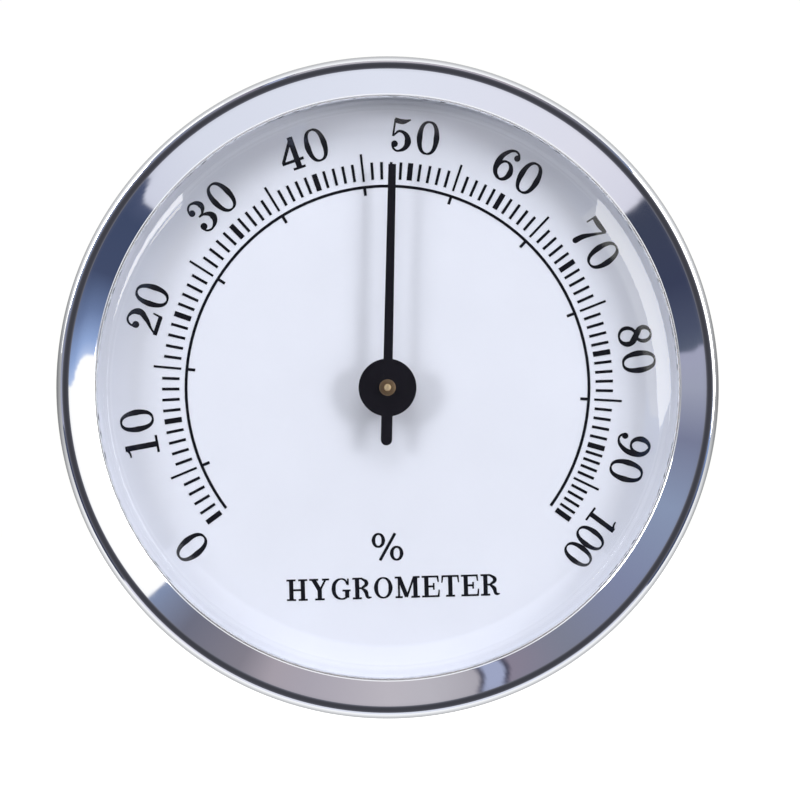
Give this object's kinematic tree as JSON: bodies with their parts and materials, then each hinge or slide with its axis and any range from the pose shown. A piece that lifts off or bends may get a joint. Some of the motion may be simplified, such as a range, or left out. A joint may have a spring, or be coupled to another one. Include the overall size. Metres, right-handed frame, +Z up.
{
  "type": "dial hygrometer",
  "caption": "Round dial hygrometer with a chromed funnel bezel, a domed lens, a printed white dial, a black pointer and a coil movement in a flanged cup case.",
  "frame": {"origin": "on the dial's axis, in the plane of the flange's rear face, which seats on the panel", "axes": "+Y from the dial to the back of the case, along the pointer's axis; +Z up, towards the scale's middle; +X to the right as the dial is read"},
  "size_m": [0.0568, 0.0203, 0.0568],
  "materials": {
    "chrome": "polished plate",
    "clear_acrylic": "clear moulded acrylic",
    "black_rubber": "matte",
    "white_plastic": "matte",
    "dial_white": "satin enamel",
    "black_ink": "screen print",
    "pointer_black": "satin black enamel",
    "brass": "turned",
    "steel": "ground",
    "coil_strip": "rolled strip with a moisture-sensitive layer",
    "black_plastic": "fine moulded texture"
  },
  "bodies": {
    "housing": {"bezel": "chrome", "lens": "clear_acrylic", "lens_gasket": "black_rubber", "spacer_ring": "white_plastic", "dial_plate": "dial_white", "scale_print": "black_ink", "front_bush": "brass", "movement_bridge": "brass", "bridge_pillars": "brass", "bridge_screws": "steel", "base_plate": "brass", "base_screws": "steel", "friction_washer": "steel", "case": "black_plastic"},
    "calibration": {"calibration_hub": "brass", "calibration_arm": "steel", "coil_stud": "brass", "humidity_coil": "coil_strip"},
    "pointer_unit": {"pointer": "pointer_black", "pointer_collet": "brass", "pointer_shaft": "steel", "coil_collet": "brass"}
  },
  "joints": [
    {"name": "calibration_turn", "type": "hinge", "parent": "housing", "child": "calibration", "pos_m": [0, 0, 0], "axis": [0, 1, 0], "range_deg": [-15, 15]},
    {"name": "pointer_turn", "type": "hinge", "parent": "calibration", "child": "pointer_unit", "pos_m": [0, 0, 0], "axis": [0, 1, 0], "range_deg": [-128, 124.7], "stiffness_Nm_per_rad": 0.00006, "deforming": ["humidity_coil"]}
  ]
}
